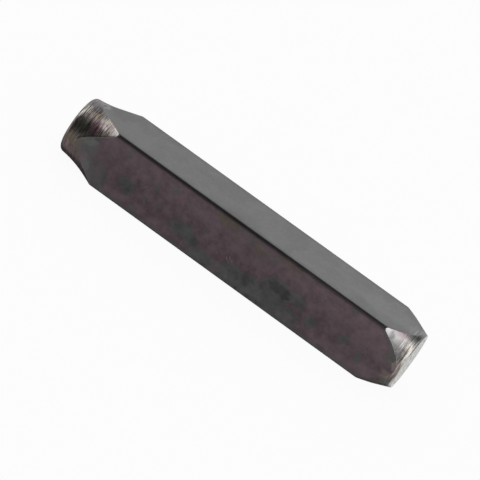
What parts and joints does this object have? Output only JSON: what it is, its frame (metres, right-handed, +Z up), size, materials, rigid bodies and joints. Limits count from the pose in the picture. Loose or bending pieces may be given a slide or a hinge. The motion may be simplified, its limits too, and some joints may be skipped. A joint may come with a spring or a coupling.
{
  "type": "metal design stamp",
  "caption": "Square steel hand stamp with a hollow-necked round head to strike and a short cone that ends in a flat face with a sunk rosette.",
  "frame": {"origin": "middle of the flat that the stamp lies on, half way along its length", "axes": "+X along the bar towards the working face, +Y to the back, +Z up"},
  "size_m": [0.062, 0.01, 0.01],
  "materials": {
    "oxide_steel": "brown-black oxide on the ground flats, bare turned steel with heat tints at both ends, bright ground working face"
  },
  "bodies": {
    "root": {"stamp": "oxide_steel"}
  },
  "joints": []
}
